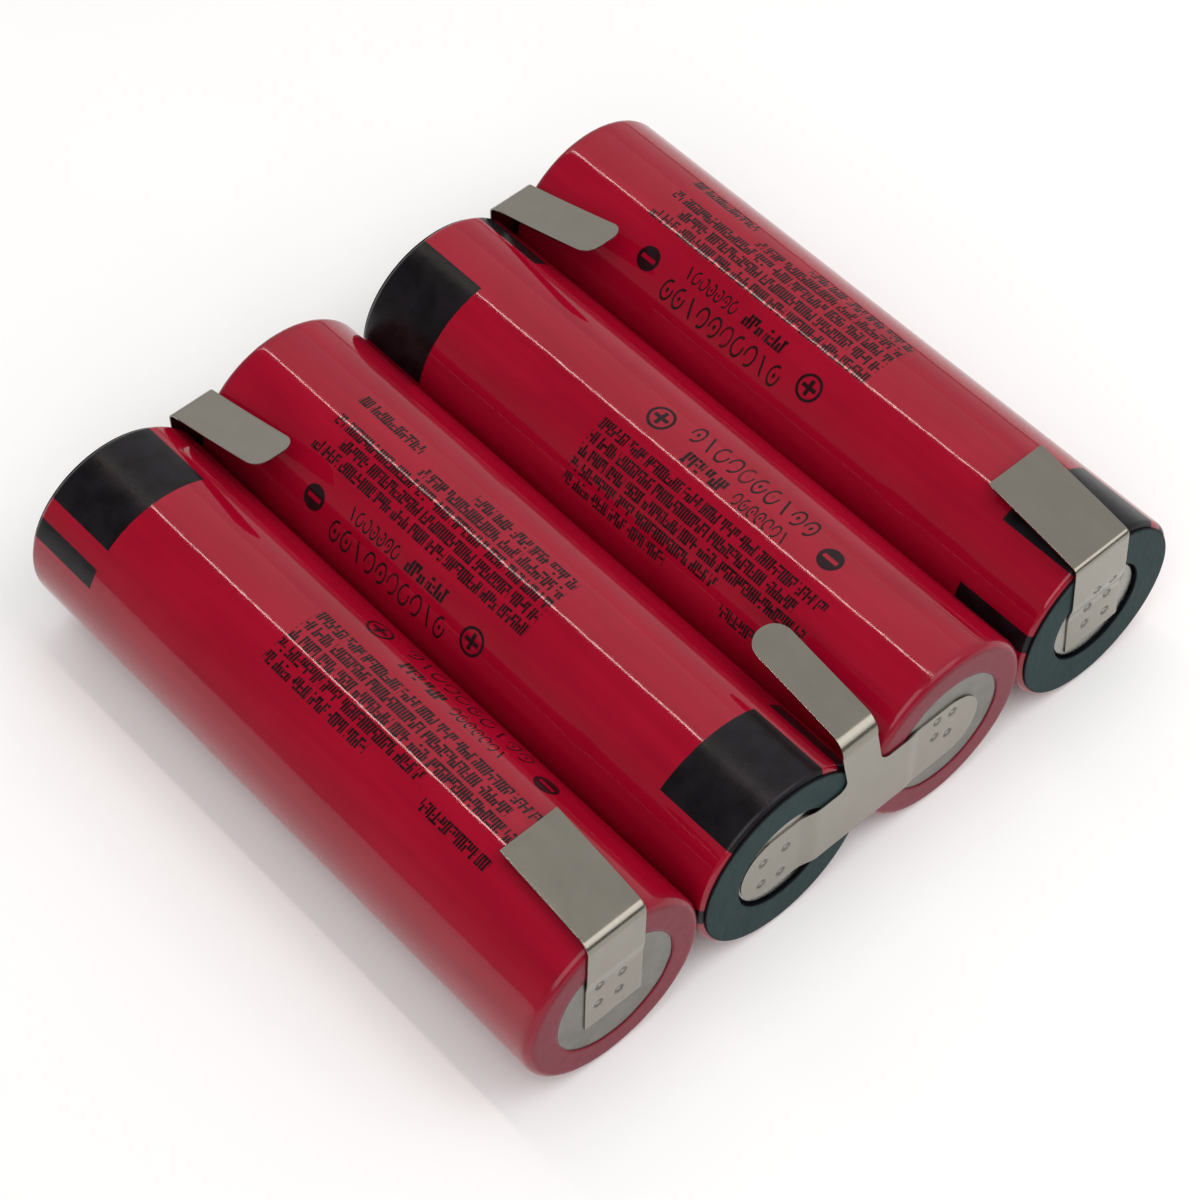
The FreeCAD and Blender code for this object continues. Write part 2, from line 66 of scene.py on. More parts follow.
def new_object(name, bm, material, slot, *replaced):
    """Finishes a mesh that is already in its place and hides the CAD nodes it replaces."""
    bmesh.ops.scale(bm, vec=(MM, MM, MM), verts=bm.verts)
    mesh = bpy.data.meshes.new(name)
    bm.to_mesh(mesh)
    bm.free()
    mesh.materials.append(material)
    mesh.shade_smooth()
    thing = bpy.data.objects.new(name, mesh)
    bpy.context.collection.objects.link(thing)
    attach(thing, "root")
    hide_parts(*replaced)
    return thing


def lathe(profile, steps, closed=True):
    """Spins (radius, height) points about Z."""
    bm = bmesh.new()
    points = [bm.verts.new((radius, 0.0, height)) for radius, height in profile]
    pairs = list(zip(points, points[1:]))
    if closed:
        pairs.append((points[-1], points[0]))
    edges = [bm.edges.new(pair) for pair in pairs]
    bmesh.ops.spin(bm, geom=points + edges, cent=(0, 0, 0), axis=(0, 0, 1),
                   angle=math.tau, steps=steps, use_merge=True)
    bmesh.ops.remove_doubles(bm, verts=bm.verts, dist=1e-4)
    bmesh.ops.recalc_face_normals(bm, faces=bm.faces)
    return bm


def arc(centre, radius, start, end, count):
    """Points (radius, height) of an arc; angles in degrees from the outward direction."""
    points = []
    for number in range(count + 1):
        angle = math.radians(start + (end - start) * number / count)
        points.append((centre[0] + radius * math.cos(angle), centre[1] + radius * math.sin(angle)))
    return points


def spaced(start, end, count):
    return [start + (end - start) * number / count for number in range(count + 1)]


def smoothstep(low, high, value):
    ratio = min(max((value - low) / (high - low), 0.0), 1.0)
    return ratio * ratio * (3.0 - 2.0 * ratio)


def cell_centre(number):
    return CELL_PITCH * (number - (CELL_COUNT + 1) / 2)


def cell_matrix(number):
    """Lays a piece that stands on Z down along Y, with its top at the cell's positive end."""
    half = CELL_LENGTH / 2
    if FAR_POSITIVE[number]:
        turn = Matrix.Rotation(math.radians(-90), 4, "X")
        along = -half
    else:
        turn = Matrix.Rotation(math.radians(90), 4, "X")
        along = half
    return Matrix.Translation((cell_centre(number), along, AXIS_HEIGHT)) @ turn


def lay_down(bm, number):
    bmesh.ops.transform(bm, matrix=cell_matrix(number), verts=bm.verts)


def film_angle(number, point):
    """Degrees round the film from its polarity marks, towards the black block."""
    turn = -math.degrees(math.atan2(point.y, point.x))
    start = MARK_ANGLE[number] if FAR_POSITIVE[number] else -MARK_ANGLE[number]
    return (turn - start + 180.0) % 360.0 - 180.0


# ---- node helpers


class Finish:
    """A material's node tree, with short calls for the nodes used here."""

    def __init__(self, name):
        self.material = bpy.data.materials.new(name)
        self.material.use_nodes = True
        self.tree = self.material.node_tree
        self.tree.nodes.clear()
        self.shader = self.tree.nodes.new("ShaderNodeBsdfPrincipled")
        self.output = self.tree.nodes.new("ShaderNodeOutputMaterial")
        self.tree.links.new(self.shader.outputs["BSDF"], self.output.inputs["Surface"])

    def plug(self, socket, source):
        if isinstance(source, bpy.types.NodeSocket):
            self.tree.links.new(source, socket)
        else:
            socket.default_value = source

    def set(self, **values):
        for name, value in values.items():
            self.plug(self.shader.inputs[name.replace("_", " ")], value)

    def math(self, operation, first, second=0.0, third=0.0, clamp=False):
        node = self.tree.nodes.new("ShaderNodeMath")
        node.operation = operation
        node.use_clamp = clamp
        for socket, source in zip(node.inputs, (first, second, third)):
            self.plug(socket, source)
        return node.outputs[0]

    def add(self, first, second):
        return self.math("ADD", first, second)

    def take(self, first, second):
        return self.math("SUBTRACT", first, second)

    def times(self, first, second):
        return self.math("MULTIPLY", first, second)

    def either(self, *masks):
        total = masks[0]
        for mask in masks[1:]:
            total = self.math("MAXIMUM", total, mask)
        return total

    def step(self, value, low, high, start=0.0, end=1.0):
        node = self.tree.nodes.new("ShaderNodeMapRange")
        node.interpolation_type = "SMOOTHSTEP"
        for socket, source in zip(node.inputs, (value, low, high, start, end)):
            self.plug(socket, source)
        return node.outputs[0]

    def band(self, value, low, high, soft):
        """1 between low and high, with soft edges."""
        rise = self.step(value, low - soft, low + soft)
        fall = self.step(value, high - soft, high + soft, 1.0, 0.0)
        return self.times(rise, fall)

    def patch(self, across, along, across_range, along_range, soft):
        first = self.band(across, across_range[0], across_range[1], soft)
        second = self.band(along, along_range[0], along_range[1], soft)
        return self.times(first, second)

    def place(self, scale=(1.0, 1.0, 1.0), source=None):
        """Object coordinates in millimetres, stretched by scale, or another vector so stretched."""
        if source is None:
            source = self.tree.nodes.new("ShaderNodeTexCoord").outputs["Object"]
            scale = tuple(part / MM for part in scale)
        node = self.tree.nodes.new("ShaderNodeMapping")
        self.plug(node.inputs["Vector"], source)
        node.inputs["Scale"].default_value = scale
        return node.outputs["Vector"]

    def noise(self, vector, scale, detail=4.0, roughness=0.5, distortion=0.0):
        node = self.tree.nodes.new("ShaderNodeTexNoise")
        self.plug(node.inputs["Vector"], vector)
        node.inputs["Scale"].default_value = scale
        node.inputs["Detail"].default_value = detail
        node.inputs["Roughness"].default_value = roughness
        node.inputs["Distortion"].default_value = distortion
        return node.outputs["Fac"]

    def vector(self, across, along, depth=0.0):
        node = self.tree.nodes.new("ShaderNodeCombineXYZ")
        for socket, source in zip(node.inputs, (across, along, depth)):
            self.plug(socket, source)
        return node.outputs[0]

    def uv(self, name):
        node = self.tree.nodes.new("ShaderNodeUVMap")
        node.uv_map = name
        parts = self.tree.nodes.new("ShaderNodeSeparateXYZ")
        self.tree.links.new(node.outputs["UV"], parts.inputs[0])
        return parts.outputs["X"], parts.outputs["Y"]

    def worn(self, name):
        """A per-point value painted on the mesh."""
        node = self.tree.nodes.new("ShaderNodeAttribute")
        node.attribute_name = name
        return node.outputs["Fac"]

    def blend(self, mask, first, second):
        node = self.tree.nodes.new("ShaderNodeMix")
        node.data_type = "RGBA"
        self.plug(node.inputs[0], mask)
        self.plug(node.inputs[6], first)
        self.plug(node.inputs[7], second)
        return node.outputs[2]

    def ramp(self, mask, *stops):
        node = self.tree.nodes.new("ShaderNodeValToRGB")
        self.plug(node.inputs[0], mask)
        marks = node.color_ramp.elements
        while len(marks) < len(stops):
            marks.new(0.5)
        for mark, (place, colour) in zip(marks, stops):
            mark.position = place
            mark.color = colour
        return node.outputs["Color"]

    def bump(self, height, distance_mm, strength=1.0, under=None):
        node = self.tree.nodes.new("ShaderNodeBump")
        self.plug(node.inputs["Height"], height)
        node.inputs["Distance"].default_value = distance_mm * MM
        node.inputs["Strength"].default_value = strength
        if under is not None:
            self.tree.links.new(under, node.inputs["Normal"])
        return node.outputs["Normal"]


def colour(red, green, blue):
    return (red, green, blue, 1.0)


# ---- finishes

DEGREE = math.pi / 180 * FILM_RADIUS
INK_DEPTH = 8.4


def mark_cells(finish, along, pitch, seed):
    """Splits a line of print into cells; gives the place in the cell and three chances."""
    place = finish.math("DIVIDE", along, pitch)
    chance = finish.tree.nodes.new("ShaderNodeTexWhiteNoise")
    chance.noise_dimensions = "2D"
    finish.plug(chance.inputs["Vector"], finish.vector(finish.math("FLOOR", place), seed))
    parts = finish.tree.nodes.new("ShaderNodeSeparateColor")
    finish.tree.links.new(chance.outputs["Color"], parts.inputs[0])
    return finish.math("FRACT", place), parts.outputs[0], parts.outputs[1], parts.outputs[2]


def comb_marks(finish, along, height, pitch, seed, word):
    """Small print as dense combs of uneven uprights, never letters.

    height runs 0 to 1 up the line; word is the usual length between two gaps.
    """
    inside, first, second, third = mark_cells(finish, along, pitch, seed)
    upright = finish.band(inside, 0.12, 0.84, 0.12)
    low = finish.times(finish.step(first, 0.68, 0.7), 0.42)
    high = finish.take(1.0, finish.times(finish.step(second, 0.68, 0.7), 0.4))
    foot = finish.step(height, finish.take(low, 0.04), finish.add(low, 0.04))
    head = finish.step(height, finish.take(high, 0.04), finish.add(high, 0.04), 1.0, 0.0)
    level = finish.add(0.1, finish.times(finish.math("FLOOR", finish.times(third, 2.99)), 0.4))
    off_level = finish.math("ABSOLUTE", finish.take(height, level))
    tie = finish.times(finish.step(off_level, 0.08, 0.13, 1.0, 0.0),
                       finish.step(first, 0.2, 0.22))
    gap, skip, _, _ = mark_cells(finish, along, word, finish.add(seed, 0.5))
    gap = finish.times(finish.step(gap, 0.12, 0.13, 1.0, 0.0), finish.step(skip, 0.25, 0.26))
    inked = finish.either(tie, finish.times(upright, finish.times(foot, head)))
    inked = finish.times(inked, finish.take(1.0, gap))
    return finish.times(inked, finish.band(height, 0.0, 1.0, 0.04))


def loop_marks(finish, along, height, pitch, tall, seed, line):
    """Large print as thin loops broken at one corner, dots and slants, never letters."""
    inside, first, second, third = mark_cells(finish, along, pitch, seed)
    across = finish.math("DIVIDE", finish.take(inside, 0.5), 0.36)
    upward = finish.math("DIVIDE", finish.take(height, 0.5), 0.45)
    reach = finish.math("SQRT", finish.add(finish.times(across, across),
                                           finish.times(upward, upward)))
    half = line / (pitch * 0.36 + tall * 0.45)
    ring = finish.band(reach, 1.0 - half, 1.0 + half, half * 0.4)
    corner = finish.math("FLOOR", finish.times(first, 3.999))
    opening = finish.times(finish.add(corner, 0.5), math.pi / 2)
    gap = finish.math("COSINE", finish.take(finish.math("ARCTAN2", upward, across), opening))
    loop = finish.times(ring, finish.step(gap, 0.86, 0.9, 1.0, 0.0))
    dot = finish.times(finish.step(reach, 0.24, 0.3, 1.0, 0.0), finish.step(second, 0.55, 0.56))
    lean = finish.take(across, finish.times(upward, 0.55))
    slant = finish.times(finish.band(lean, -half * 1.4, half * 1.4, half * 0.4),
                         finish.band(upward, -1.0, 1.0, 0.08))
    is_slant = finish.step(third, 0.22, 0.23, 1.0, 0.0)
    return finish.either(finish.times(finish.either(loop, dot), finish.take(1.0, is_slant)),
                         finish.times(slant, is_slant))


def printed_ink(finish, turn, along):
    """The ink on the film; turn is in degrees from the polarity marks, along from the + end."""
    soft = 0.05
    # heavy bars round the positive end
    bars = [finish.patch(turn, along, span, (-1.0, INK_DEPTH), soft)
            for span in ((10.0, 79.0), (91.5, 104.0), (-43.5, -31.0))]
    # plus mark in a circle, minus mark on a disc
    arc_length = finish.times(turn, DEGREE)
    marks = []
    for centre, is_plus in ((30.25, True), (51.0, False)):
        off = finish.take(along, centre)
        reach = finish.math("SQRT", finish.add(finish.times(off, off),
                                               finish.times(arc_length, arc_length)))
        bar = finish.patch(arc_length, off, (-0.2, 0.2), (-0.8, 0.8), soft)
        if is_plus:
            ring = finish.band(reach, 1.04, 1.33, soft)
            cross = finish.patch(arc_length, off, (-0.8, 0.8), (-0.2, 0.2), soft)
            marks.append(finish.either(ring, bar, cross))
        else:
            disc = finish.step(reach, 1.15, 1.25, 1.0, 0.0)
            marks.append(finish.times(disc, finish.take(1.0, bar)))
    # one tall line and one short line between the marks
    tall = finish.math("DIVIDE", finish.add(turn, 13.5), 13.0)
    line = loop_marks(finish, finish.take(along, 33.0), tall, 1.53, 2.1, 3.0, 0.24)
    line = finish.times(line, finish.patch(turn, along, (-13.6, -0.4), (33.0, 48.3), soft))
    short = finish.math("DIVIDE", finish.take(turn, 4.0), 8.5)
    word = comb_marks(finish, finish.take(along, 34.2), short, 0.42, 8.0, 2.7)
    word = finish.times(word, finish.band(along, 34.2, 39.6, soft))
    figures = loop_marks(finish, finish.take(along, 40.6), short, 0.94, 1.36, 11.0, 0.18)
    figures = finish.times(figures, finish.patch(turn, along, (3.9, 12.6), (40.6, 47.2), soft))
    small = finish.either(word, figures)
    # a block of five lines of small print, and a short one that ends its last row
    place = finish.math("DIVIDE", finish.take(turn, 20.0), 9.05)
    row = finish.math("FLOOR", place)
    height = finish.math("DIVIDE", finish.math("FRACT", place), 0.8)
    block = comb_marks(finish, along, height, 0.3, finish.add(row, 20.0), 2.3)
    rows = finish.times(finish.step(height, 1.0, 1.04, 1.0, 0.0),
                        finish.band(turn, 19.9, 65.0, 0.1))
    ends = []
    for number, end in enumerate((54.2, 52.0, 54.2, 44.8, 39.4)):
        mine = finish.band(row, number - 0.5, number + 0.5, 0.1)
        ends.append(finish.times(mine, finish.band(along, 26.6, end, soft)))
    last = finish.times(finish.band(row, 3.5, 4.5, 0.1), finish.band(along, 46.3, 54.4, soft))
    block = finish.times(finish.times(block, rows), finish.either(last, *ends))
    return bars, finish.either(line, small, block, *marks)


def film_finish():
    """Glossy red heat-shrunk film with black print."""
    finish = Finish("red_film")
    turn, along = finish.uv("film")
    wander = finish.take(finish.noise(finish.place(), 1.3, 2.0), 0.5)
    bars, print_ = printed_ink(finish, turn, finish.add(along, finish.times(wander, 0.08)))
    grain = finish.noise(finish.place(), 6.0, 3.0, 0.6)
    print_ = finish.times(print_, finish.step(grain, 0.22, 0.36, 0.6, 0.97))
    bars = finish.times(finish.either(*bars), finish.step(grain, 0.1, 0.3, 0.96, 1.0))
    ink = finish.either(bars, print_)
    streak = finish.noise(finish.place((1.0, 0.06, 1.0)), 0.9, 3.0, 0.55)
    cloud = finish.noise(finish.place((1.0, 0.45, 1.0)), 0.22, 2.0)
    shade = finish.add(finish.times(streak, 0.55), finish.times(cloud, 0.45))
    red = finish.ramp(shade,
                      (0.3, colour(0.240, 0.0012, 0.0125)),
                      (0.5, colour(0.276, 0.0018, 0.0155)),
                      (0.7, colour(0.312, 0.0035, 0.0195)))
    black = finish.ramp(finish.noise(finish.place(), 0.5, 3.0),
                        (0.35, colour(0.004, 0.003, 0.004)),
                        (0.65, colour(0.009, 0.007, 0.009)))
    # pinched film is duller and paler along its folded ends
    worn = finish.worn("pinched")
    red = finish.blend(finish.times(worn, 0.5), red, colour(0.066, 0.016, 0.030))
    finish.set(Base_Color=finish.blend(ink, red, black))
    fine = finish.noise(finish.place((1.0, 0.25, 1.0)), 3.0, 4.0, 0.6)
    rough = finish.step(fine, 0.25, 0.75, 0.045, 0.085)
    rough = finish.add(rough, finish.times(bars, 0.22))
    finish.set(Roughness=finish.add(rough, finish.times(worn, 0.24)))
    ripple = finish.noise(finish.place((1.0, 0.5, 1.0)), 0.75, 3.0, 0.55)
    normal = finish.bump(ripple, 0.0065)
    pores = finish.noise(finish.place((1.0, 0.7, 1.0)), 5.0, 3.0, 0.6)
    normal = finish.bump(pores, 0.0003, 1.0, normal)
    normal = finish.bump(bars, 0.002, 1.0, normal)
    finish.set(Normal=normal)
    shine = finish.take(0.45, finish.times(ink, 0.2))
    finish.set(Specular_IOR_Level=finish.take(shine, finish.times(worn, 0.32)))
    return finish.material


def paper_finish():
    """Dark blue-green pressed insulating paper."""
    finish = Finish("fish_paper")
    radius, _ = finish.uv("film")
    place = finish.place()
    fibre = finish.noise(finish.place((1.0, 1.0, 0.2)), 2.2, 5.0, 0.65, 0.4)
    mottle = finish.noise(place, 0.5, 3.0)
    tone = finish.add(finish.times(fibre, 0.6), finish.times(mottle, 0.4))
    paper = finish.ramp(tone,
                        (0.3, colour(0.0135, 0.031, 0.033)),
                        (0.7, colour(0.0225, 0.0435, 0.0455)))
    # the dark rims along the ring's outer and inner edges are partly the paper's dark cut edge,
    # partly painted shade of the gaps beside the sleeve and round the hole
    edge = finish.either(finish.step(radius, 8.55, 8.72), finish.step(radius, 5.12, 5.2, 1.0, 0.0))
    finish.set(Base_Color=finish.blend(edge, paper, colour(0.006, 0.007, 0.008)))
    finish.set(Roughness=finish.step(fibre, 0.3, 0.7, 0.5, 0.66))
    finish.set(Normal=finish.bump(fibre, 0.02, 0.8))
    finish.shader.inputs["Specular IOR Level"].default_value = 0.1
    return finish.material


def nickel_finish():
    """Rolled nickel strip: lengthwise rolling lines, faint handling marks, scorched weld spots."""
    finish = Finish("rolled_nickel")
    across, along = finish.uv("strip")
    spot = finish.vector(across, along)
    rolled = finish.noise(finish.place((2.6, 0.12, 1.0), spot), 1.2, 2.0, 0.5)
    stain = finish.noise(finish.place((0.8, 0.3, 1.0), spot), 0.5, 4.0, 0.6)
    dull = finish.noise(spot, 0.35, 3.0, 0.6)
    tone = finish.add(finish.times(stain, 0.6), finish.times(dull, 0.4))
    metal = finish.ramp(tone,
                        (0.3, colour(0.264, 0.244, 0.206)),
                        (0.7, colour(0.299, 0.278, 0.237)))
    weld = finish.worn("weld")
    scorch_edge = finish.noise(spot, 3.2, 3.0, 0.7, 0.8)
    scorch = finish.step(finish.times(weld, finish.add(0.45, scorch_edge)), 0.35, 0.9)
    metal = finish.blend(finish.times(scorch, 0.8), metal, colour(0.085, 0.08, 0.074))
    finish.set(Base_Color=metal, Metallic=1.0)
    rough = finish.step(rolled, 0.3, 0.7, 0.18, 0.22)
    rough = finish.add(rough, finish.times(finish.step(stain, 0.4, 0.7), 0.03))
    finish.set(Roughness=finish.add(rough, finish.times(scorch, 0.25)))
    normal = finish.bump(rolled, 0.0006)
    normal = finish.bump(dull, 0.004, 1.0, normal)
    finish.set(Normal=normal)
    return finish.material


def plated_finish(name, pale, dark, low, high):
    """Nickel-plated steel, satin, with fine drawing marks."""
    finish = Finish(name)
    drawn = finish.noise(finish.place((1.0, 0.1, 1.0)), 7.0, 4.0, 0.6)
    stain = finish.noise(finish.place(), 0.45, 4.0, 0.6)
    finish.set(Base_Color=finish.ramp(stain, (0.3, dark), (0.7, pale)), Metallic=1.0)
    finish.set(Roughness=finish.step(drawn, 0.3, 0.7, low, high))
    finish.set(Normal=finish.bump(drawn, 0.002))
    return finish.material


def plain_finish(name, pale, dark, low, high, metallic=0.0, scale=(1.0, 1.0, 1.0), grain=2.0):
    """A hidden piece: two tones, uneven gloss and a fine grain."""
    finish = Finish(name)
    tone = finish.noise(finish.place(scale), grain, 4.0, 0.6)
    fine = finish.noise(finish.place(scale), grain * 4.0, 3.0, 0.6)
    finish.set(Base_Color=finish.ramp(tone, (0.3, dark), (0.7, pale)), Metallic=metallic)
    finish.set(Roughness=finish.step(fine, 0.3, 0.7, low, high))
    finish.set(Normal=finish.bump(fine, 0.004))
    return finish.material


def roll_finish():
    """Wound electrode foil: dark coating with the edges of many turns."""
    finish = Finish("wound_foil")
    place = finish.place((1.0, 0.05, 1.0))
    turns = finish.noise(place, 5.0, 4.0, 0.7)
    finish.set(Base_Color=finish.ramp(turns,
                                      (0.35, colour(0.018, 0.017, 0.016)),
                                      (0.65, colour(0.10, 0.075, 0.055))))
    finish.set(Roughness=finish.step(turns, 0.3, 0.7, 0.42, 0.6), Metallic=0.35)
    finish.set(Normal=finish.bump(turns, 0.02))
    return finish.material


def glue_finish():
    """Cloudy hot-melt glue."""
    finish = Finish("hot_melt")
    cloud = finish.noise(finish.place((1.0, 0.4, 1.0)), 0.6, 3.0)
    finish.set(Base_Color=finish.ramp(cloud,
                                      (0.3, colour(0.58, 0.54, 0.44)),
                                      (0.7, colour(0.72, 0.69, 0.60))))
    finish.set(Roughness=finish.step(cloud, 0.3, 0.7, 0.28, 0.42))
    finish.set(Normal=finish.bump(cloud, 0.08))
    finish.shader.inputs["Subsurface Weight"].default_value = 0.3
    finish.shader.inputs["Subsurface Scale"].default_value = 0.001
    return finish.material


FILM = film_finish()
PAPER = paper_finish()
NICKEL = nickel_finish()
CAN_STEEL = plated_finish("can_steel", colour(0.225, 0.218, 0.198), colour(0.165, 0.158, 0.143),
                          0.30, 0.42)
CAP_STEEL = plated_finish("cap_steel", colour(0.34, 0.33, 0.30), colour(0.27, 0.26, 0.235),
                          0.24, 0.36)
HIDDEN_FINISHES = {
    "seal": plain_finish("seal_plastic", colour(0.10, 0.20, 0.36), colour(0.07, 0.15, 0.28),
                         0.4, 0.55),
    "ptc_ring": plain_finish("ptc_polymer", colour(0.05, 0.05, 0.05), colour(0.03, 0.03, 0.03),
                             0.5, 0.7),
    "vent_disc": plain_finish("rolled_aluminium", colour(0.82, 0.82, 0.83), colour(0.7, 0.7, 0.71),
                              0.22, 0.36, 1.0, (1.0, 0.2, 1.0), 3.0),
    "upper_insulator": plain_finish("insulator_film", colour(0.78, 0.79, 0.74),
                                    colour(0.68, 0.69, 0.62), 0.35, 0.5),
    "electrode_roll": roll_finish(),
}
HIDDEN_FINISHES["weld_plate"] = HIDDEN_FINISHES["vent_disc"]
HIDDEN_FINISHES["positive_lead"] = HIDDEN_FINISHES["vent_disc"]
HIDDEN_FINISHES["lower_insulator"] = HIDDEN_FINISHES["upper_insulator"]
HIDDEN_FINISHES["negative_lead"] = CAP_STEEL
GLUE = glue_finish()


def finish_hidden_nodes():
    """The sealed pieces keep their CAD shape and get their own finishes."""
    for name, material in HIDDEN_FINISHES.items():
        for number in range(1, CELL_COUNT + 1):
            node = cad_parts["%s_%d" % (name, number)]
            for slot in node.material_slots:
                slot.material = material


# ---- pieces of a cell


def ripple(number, turn, height):
    """How far the shrunk film stands off a true cylinder, in millimetres."""
    angle = math.radians(turn)
    round_ = Vector((math.cos(angle), math.sin(angle), 0.0)) * FILM_RADIUS
    seed = 37.0 * number
    slow = noise.noise(Vector((round_.x * 0.16, round_.y * 0.16, height * 0.05 + seed)))
    streaks = noise.noise(Vector((round_.x * 0.7, round_.y * 0.7, height * 0.10 + seed)))
    quick = noise.noise(Vector((round_.x * 0.55, round_.y * 0.55, height * 0.55 + seed)))
    lift = 0.010 * slow + 0.003 * streaks + 0.0028 * quick
    for end, reach in ((0.0, 2.4), (SLEEVE_TOP, 2.0)):
        near = 1.0 - smoothstep(0.2, reach, abs(height - end))
        if near > 0.0:
            place = Vector((round_.x * 0.8, round_.y * 0.8, height * 0.3 + seed + end))
            pucker = noise.noise(place)
            lift += 0.014 * near * pucker
    return lift


def dent_in_film(number, turn, height):
    """A shallow thumb mark on the shoulder of two of the cells."""
    if number not in FILM_DENTS:
        return 0.0
    place, along = FILM_DENTS[number]
    across = (turn - place) * DEGREE
    reach = (across / 1.1) ** 2 + ((height - along) / (1.9 - 0.5 * across)) ** 2
    return -0.045 * math.exp(-reach * 1.6)


# degrees round the film and height above the negative face
FILM_DENTS = {2: (0.5, 48.6), 4: (-16.5, 48.6)}


def crease(number, turn, height):
    """A faint lengthwise fold that the film kept where it was flattened on its reel."""
    total = 0.0
    for place, start, end in CREASES[number]:
        along = smoothstep(start, start + 1.5, height) * (1.0 - smoothstep(end - 2.5, end, height))
        total += 0.016 * along * math.exp(-(((turn - place) * DEGREE / 0.2) ** 2))
    return total


# degrees round the film, and where the fold starts and ends above the negative face
CREASES = {
    1: ((85.5, 0.8, 17.0),),
    2: ((5.0, 48.5, 60.0),),
    3: ((-36.0, 8.0, 20.0), (150.0, 20.0, 50.0)),
    4: ((-14.0, 46.0, 58.0),),
}


def sleeve(number):
    """The heat-shrunk film: tube, soft shoulders and the lips folded over both ends."""
    bend, foot_bend = 0.55, 0.8
    window_drop, lip_radius = 0.02, 8.9
    outer = [(radius, window_drop) for radius in spaced(WINDOW_RADIUS, FILM_RADIUS - foot_bend, 8)]
    outer += arc((FILM_RADIUS - foot_bend, foot_bend + window_drop), foot_bend, -90, 0, 9)[1:]
    outer += [(FILM_RADIUS, height)
              for height in spaced(foot_bend + window_drop, SLEEVE_TOP - bend, 132)[1:-1]]
    outer += arc((FILM_RADIUS - bend, SLEEVE_TOP - bend), bend, 0, 90, 7)
    outer += [(radius, SLEEVE_TOP)
              for radius in spaced(FILM_RADIUS - bend, TOP_WINDOW_RADIUS, 3)[1:]]
    wall = FILM_RADIUS - FILM_INNER_RADIUS
    inner_bend = bend - wall
    inner = [(TOP_WINDOW_RADIUS, SLEEVE_TOP - wall)]
    inner += arc((FILM_RADIUS - bend, SLEEVE_TOP - bend), inner_bend, 90, 0, 3)
    inner += [(FILM_INNER_RADIUS, height) for height in (50.0, 35.0, 20.0)]
    inner += arc((FILM_RADIUS - foot_bend, foot_bend + window_drop), foot_bend - wall, 0, -90, 4)
    inner += [(WINDOW_RADIUS, window_drop + wall)]
    bm = lathe(outer + inner, 240)
    uv = bm.loops.layers.uv.new("film")
    pinched = bm.verts.layers.float.new("pinched")
    for vert in bm.verts:
        radius = math.hypot(vert.co.x, vert.co.y)
        lip = 1.0 - smoothstep(8.5, 9.16, radius)
        edge = 1.0 - smoothstep(0.2, 1.4, vert.co.z)
        vert[pinched] = max(lip, 0.45 * edge)
    for face in bm.faces:
        turns = [film_angle(number, loop.vert.co) for loop in face.loops]
        across_seam = max(turns) - min(turns) > 180.0
        for loop, turn in zip(face.loops, turns):
            if across_seam and turn < 0.0:
                turn += 360.0
            loop[uv].uv = (turn, CELL_LENGTH - loop.vert.co.z)
    for vert in bm.verts:
        radius = math.hypot(vert.co.x, vert.co.y)
        turn = film_angle(number, vert.co)
        outward = Vector((vert.co.x, vert.co.y, 0.0)) / radius
        if radius > lip_radius:
            if radius > FILM_INNER_RADIUS + 0.01 or not 0.5 < vert.co.z < SLEEVE_TOP - 0.5:
                fade = smoothstep(lip_radius, FILM_RADIUS, radius)
                vert.co += outward * fade * (ripple(number, turn, vert.co.z)
                                             + dent_in_film(number, turn, vert.co.z)
                                             + crease(number, turn, vert.co.z))
        elif vert.co.z < 1.0:
            wave = noise.noise(Vector((vert.co.x * 0.5, vert.co.y * 0.5, 5.0 * number)))
            vert.co += outward * 0.05 * wave * (1.0 - smoothstep(WINDOW_RADIUS, 7.0, radius))
            vert.co.z += 0.012 * noise.noise(Vector((vert.co.x, vert.co.y, 9.0 * number)))
    lay_down(bm, number)
    return new_object("film_sleeve_%d" % number, bm, FILM, "red_sleeve", "sleeve_%d" % number)


def radial_uv(bm):
    """Stores each corner's distance from the axis and its angle."""
    uv = bm.loops.layers.uv.new("film")
    for face in bm.faces:
        for loop in face.loops:
            point = loop.vert.co
            loop[uv].uv = (math.hypot(point.x, point.y), math.atan2(point.y, point.x))


def insulator_ring(number):
    """The stamped paper ring on the positive end, with slightly rolled edges."""
    low, high = SLEEVE_TOP, CELL_LENGTH
    inner, outer, soft = RING_HOLE_RADIUS, RING_RADIUS, 0.06
    profile = [(inner, low), (outer, low)]
    profile += arc((outer - soft, high - soft), soft, 0, 90, 3)
    profile += [(radius, high) for radius in spaced(outer - soft, inner + soft, 8)[1:-1]]
    profile += arc((inner + soft, high - soft), soft, 90, 180, 3)
    bm = lathe(profile, 160)
    radial_uv(bm)
    for vert in bm.verts:
        if vert.co.z > high - 0.2:
            radius = math.hypot(vert.co.x, vert.co.y)
            wave = noise.noise(Vector((vert.co.x * 0.35, vert.co.y * 0.35, 3.0 * number)))
            vert.co.z -= 0.02 + 0.02 * wave * smoothstep(outer, inner, radius)
    lay_down(bm, number)
    return new_object("paper_ring_%d" % number, bm, PAPER, "fish_paper",
                      "insulator_ring_%d" % number)


